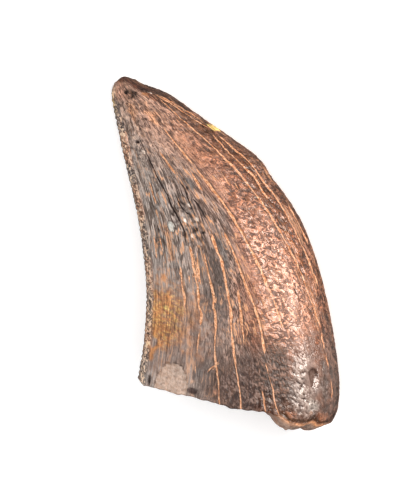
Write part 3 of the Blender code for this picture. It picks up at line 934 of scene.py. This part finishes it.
def mix(amount, first, second, kind="MIX"):
    node = nodes.new("ShaderNodeMix")
    node.data_type = "RGBA"
    node.blend_type = kind
    feed(node.inputs[0], amount)
    feed(node.inputs[6], first)
    feed(node.inputs[7], second)
    return node.outputs[2]


def mix_value(amount, first, second):
    return plus(first, times(amount, less(second, first)))


def read(name, output="Vector"):
    node = nodes.new("ShaderNodeAttribute")
    node.attribute_name = name
    return node.outputs[output]


def split(vector):
    node = nodes.new("ShaderNodeSeparateXYZ")
    links.new(vector, node.inputs[0])
    return node.outputs


def cloud(vector, scales, detail, rough=0.55, distortion=0.0):
    """Noise over the skin: how many to the millimetre round, through and down."""
    stretch = nodes.new("ShaderNodeVectorMath")
    stretch.operation = "MULTIPLY"
    links.new(vector, stretch.inputs[0])
    stretch.inputs[1].default_value = scales
    node = nodes.new("ShaderNodeTexNoise")
    links.new(stretch.outputs[0], node.inputs["Vector"])
    for name, part in (("Scale", 1.0), ("Detail", detail), ("Roughness", rough),
                       ("Distortion", distortion)):
        feed(node.inputs[name], part)
    return node.outputs["Fac"]


def along_lanes(round_scale, down_scale, distortion=0.0):
    """Noise drawn out along the lanes, finer where they spread, so that its width stays."""
    close = cloud(lane_vector, (round_scale, round_scale, down_scale), 1.0, 0.5, distortion)
    far_scale = 2.6 * round_scale
    far = cloud(lane_vector, (far_scale, far_scale, 1.3 * down_scale), 1.0, 0.5, distortion)
    return mix_value(spread_here, close, far)


def thread(field, level, half_width):
    """Thin winding lines, where a noise passes a level."""
    off = calc("ABSOLUTE", less(field, level))
    return ramp(off, half_width * 0.45, half_width, 1.0, 0.0)


def grey_of(value):
    node = nodes.new("ShaderNodeCombineColor")
    for socket in node.inputs[:3]:
        links.new(value, socket)
    return node.outputs[0]


strand_vector = read("strand")
depth_here = split(strand_vector)[2]
lane_vector = read("lane")
skin = read("tint", "Color")
rough_here, hair_here, plain_here = split(read("finish"))
spread_here, saw_here, iron_here = split(read("spread"))

streaks = along_lanes(5.0, 0.20)
flecks = cloud(lane_vector, (8.0, 8.0, 1.8), 1.0)
mottle = cloud(strand_vector, (6.2, 6.2, 5.0), 2.0, 0.6)
patches = cloud(strand_vector, (0.6, 0.6, 0.3), 3.0, 0.6)
breaks = cloud(lane_vector, (1.1, 1.1, 0.7), 2.0, 0.6)

grained = less(1.0, plain_here)
near_tip = ramp(depth_here, 7.0, 12.0, 1.0, 0.0)
streak_share = times(less(0.30, times(near_tip, 0.12)), grained)
tone = plus(times(streaks, streak_share), times(flecks, 0.30),
            times(mottle, less(0.70, streak_share)))
tone = ramp(tone, 0.43, 0.57)
tone = mix_value(times(plain_here, 0.4), tone, 0.5)
dark_skin = mix(1.0, skin, (0.84, 0.81, 0.79), "MULTIPLY")
pale_skin = mix(1.0, skin, (1.28, 1.29, 1.30), "MULTIPLY")
colour = mix(tone, dark_skin, pale_skin)
colour = mix(1.0, colour, grey_of(ramp(patches, 0.3, 0.7, 0.88, 1.12)), "MULTIPLY")

# The enamel's grain: fine furrows, with painted shade in their bottoms and a painted highlight
# along one side.
tip_share, front_share, line_share = split(read("grain"))
tip_field = cloud(lane_vector, (2.0, 2.0, 1.15), 1.0, 0.5, 0.9)
front_field = cloud(lane_vector, (2.0, 2.0, 3.2), 1.0, 0.5, 0.8)
line_field = along_lanes(3.8, 0.18, 0.25)


def furrows(level, tip_width, front_width, line_width, line_amount):
    tips = times(thread(tip_field, level, tip_width), tip_share)
    fronts = times(thread(front_field, level, front_width), front_share)
    lines = times(thread(line_field, level, line_width), line_share, line_amount)
    return plus(tips, fronts, lines)


furrowed = times(grained, ramp(breaks, 0.30, 0.55, 0.4, 1.0))
furrow = times(furrows(0.46, 0.125, 0.100, 0.075, 1.0), furrowed)
furrow_side = times(furrows(0.57, 0.095, 0.075, 0.050, 0.60), furrowed)
lit_skin = mix(1.0, skin, (2.3, 2.15, 2.0), "MULTIPLY")
shaded_skin = mix(1.0, skin, (0.24, 0.17, 0.13), "MULTIPLY")
colour = mix(times(furrow, 0.86), colour, shaded_skin)
colour = mix(times(furrow_side, 0.66), colour, lit_skin)

# The saw edge: rusty and grey grains in a net of dark gaps.
GRIT = paint("a09088")
RUSTY_GRIT = paint("e0a27c")
PALE_GRIT = paint("ffdcbb")
saw_field = cloud(strand_vector, (2.4, 2.4, 2.2), 1.0, 0.5, 1.4)
saw_base = mix(iron_here, GRIT, RUSTY_GRIT)
saw_grain = mix(ramp(saw_field, 0.52, 0.60), saw_base, PALE_GRIT)
saw_net = times(saw_here, thread(saw_field, 0.44, 0.060))
colour = mix(times(saw_here, 0.80), colour, saw_grain)
colour = mix(times(saw_net, 0.85), colour, PITCH)

# Fine dark cracks and pale hairlines between the seams.
hairy = times(hair_here, grained)
dark_hair = thread(along_lanes(2.8, 0.16, 0.1), 0.5, 0.055)
dark_hair = times(dark_hair, hairy, ramp(breaks, 0.38, 0.55))
colour = mix(times(dark_hair, 0.60), colour, BISTRE)
pale_hair = thread(along_lanes(2.4, 0.06), 0.5, 0.044)
pale_hair = times(pale_hair, hairy, ramp(breaks, 0.54, 0.42), ramp(flecks, 0.34, 0.50, 0.5, 1.0))
colour = mix(times(pale_hair, 0.85), colour, HAIR)


def line_mask(name, half_width, wobble):
    """How much of a laid line covers a point, and how close its shoulder is."""
    signed, distance, strength = split(read(name))
    close = ramp(distance, 0.14, 0.22, 1.0, 0.0)
    drift = times(less(mottle, 0.5), wobble)
    offset = calc("ABSOLUTE", plus(signed, drift))
    finer = times(ramp(depth_here, 24.5, 27.0, 1.0, 0.8), ramp(depth_here, 6.0, 13.0, 0.55, 1.0))
    width = times(half_width, ramp(breaks, 0.35, 0.65, 0.55, 1.35),
                  ramp(strength, 0.3, 1.0, 0.4, 1.0), finer)
    core = ramp(offset, times(width, 0.60), width, 1.0, 0.0)
    seen = ramp(times(strength, ramp(breaks, 0.32, 0.55, 0.55, 1.2)), 0.05, 0.55)
    shoulder = times(ramp(distance, 0.08, 0.26, 1.0, 0.0), strength)
    return times(core, close, seen), shoulder


# The laid lines: iron fills the seams level with the skin, and the cracks stay dark.
SEAM_HALF_WIDTH, SEAM_WOBBLE = 0.122, 0.05
CRACK_HALF_WIDTH, CRACK_WOBBLE = 0.074, 0.052
SEAM_IRON = paint("cf8450")
PALE_SEAM_IRON = paint("ffc397")
seam_mask, seam_side = line_mask("seam", SEAM_HALF_WIDTH, SEAM_WOBBLE)
crack_mask, crack_side = line_mask("crack", CRACK_HALF_WIDTH, CRACK_WOBBLE)
colour = mix(times(seam_side, 0.60), colour, UMBER)
seam_colour = mix(ramp(mottle, 0.40, 0.60), SEAM_IRON, PALE_SEAM_IRON)
seam_colour = mix(ramp(depth_here, 24.5, 27.5, 0.0, 0.25), seam_colour, skin)
colour = mix(times(seam_mask, 0.95), colour, seam_colour)
colour = mix(times(crack_side, 0.20), colour, UMBER)
colour = mix(crack_mask, colour, PITCH)
feed(shader.inputs["Base Color"], colour)

rough_value = plus(rough_here, ramp(mottle, 0.3, 0.7, -0.08, 0.10))
rough_value = plus(rough_value, times(calc("MAXIMUM", furrow, crack_mask), 0.25))
feed(shader.inputs["Roughness"], plus(rough_value, times(seam_mask, 0.12)))

# The finest relief. Lines are cut into it, and it is gentler where the enamel shines.
BUMP_HEIGHT = 0.09
height = plus(mottle, times(streaks, 0.8), times(flecks, 0.3))
height = times(height, ramp(rough_here, 0.27, 0.48, 0.40, 1.0))
height = less(height, times(dark_hair, 0.35), times(furrow, 0.70), times(crack_mask, 0.8), saw_net)
bump = nodes.new("ShaderNodeBump")
feed(bump.inputs["Strength"], 1.0)
feed(bump.inputs["Distance"], BUMP_HEIGHT * MM)
links.new(height, bump.inputs["Height"])
links.new(bump.outputs[0], shader.inputs["Normal"])
feed(shader.inputs["IOR"], ENAMEL_IOR)
tooth_mesh.materials.append(enamel)

tooth = bpy.data.objects.new("fossil_tooth", tooth_mesh)
bpy.context.scene.collection.objects.link(tooth)
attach(tooth, "root")
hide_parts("tooth")


# ---------------------------------------------------------------- the floor
# A sheet of matt white card on a light table, so that shadows on it stay pale. The
# tooth lies loose on it.

FLOOR_HALF_WIDTH = 1.5
floor_bm = bmesh.new()
bmesh.ops.create_grid(floor_bm, x_segments=1, y_segments=1, size=FLOOR_HALF_WIDTH)
floor_mesh = bpy.data.meshes.new("floor")
floor_bm.to_mesh(floor_mesh)
floor_bm.free()
floor = bpy.data.objects.new("floor", floor_mesh)
bpy.context.scene.collection.objects.link(floor)
card = bpy.data.materials.new("white_card")
card.use_nodes = True
card_shader = card.node_tree.nodes["Principled BSDF"]
for name, part in (("Base Color", (0.9, 0.9, 0.9)), ("Roughness", 0.9),
                   ("Specular IOR Level", 0.1), ("Emission Color", (1.0, 1.0, 1.0)),
                   ("Emission Strength", 0.28)):
    feed(card_shader.inputs[name], part)
floor_mesh.materials.append(card)
floor.visible_glossy = False


# ---------------------------------------------------------------- the lights
# A bright soft box low on the upper right makes the sheen, a dim one on the left
# greys the rear half, and a big one overhead and a pale room fill in. The last two
# don't show in the gloss, as if behind a polarising sheet.

def soft_box(name, position, size, power, glow=(1.0, 1.0, 1.0), in_gloss=True):
    lamp = bpy.data.lights.new(name, "AREA")
    lamp.color = glow
    lamp.shape = "RECTANGLE"
    lamp.size, lamp.size_y = size
    lamp.energy = power
    box = bpy.data.objects.new(name, lamp)
    box.location = position
    aim = -Vector(position)
    box.rotation_euler = aim.to_track_quat("-Z", "Y").to_euler()
    box.visible_glossy = in_gloss
    bpy.context.scene.collection.objects.link(box)


soft_box("right_box", (0.190, 0.117, 0.122), (0.14, 0.10), 0.60, (1.0, 0.87, 0.79))
soft_box("left_box", (-0.20, 0.02, 0.22), (0.20, 0.20), 0.25)
soft_box("top_box", (-0.02, -0.06, 0.36), (0.3, 0.3), 0.68, in_gloss=False)

world = bpy.data.worlds.new("room")
world.use_nodes = True
backdrop = world.node_tree.nodes["Background"].inputs
feed(backdrop["Color"], (1.0, 1.0, 1.0))
feed(backdrop["Strength"], 0.36)
world.cycles_visibility.glossy = False
bpy.context.scene.world = world
bpy.context.scene.view_settings.view_transform = "Standard"


# ---------------------------------------------------------------- the camera
# A camera on a copy stand, straight above the tooth, with a lens so long that the
# outline hardly changes with depth.

FRAME_HEIGHT = 0.04114
VIEW_CENTRE = (-0.00147, 0.00080, 0.0045)
LENS = 500.0
SENSOR = 36.0
view = bpy.data.cameras.new("camera")
view.lens = LENS
view.sensor_width = SENSOR
view.clip_start = 0.005
view.clip_end = 20.0
camera = bpy.data.objects.new("camera", view)
camera.location = Vector(VIEW_CENTRE) + Vector((0.0, 0.0, FRAME_HEIGHT * LENS / SENSOR))
bpy.context.scene.collection.objects.link(camera)
bpy.context.scene.camera = camera
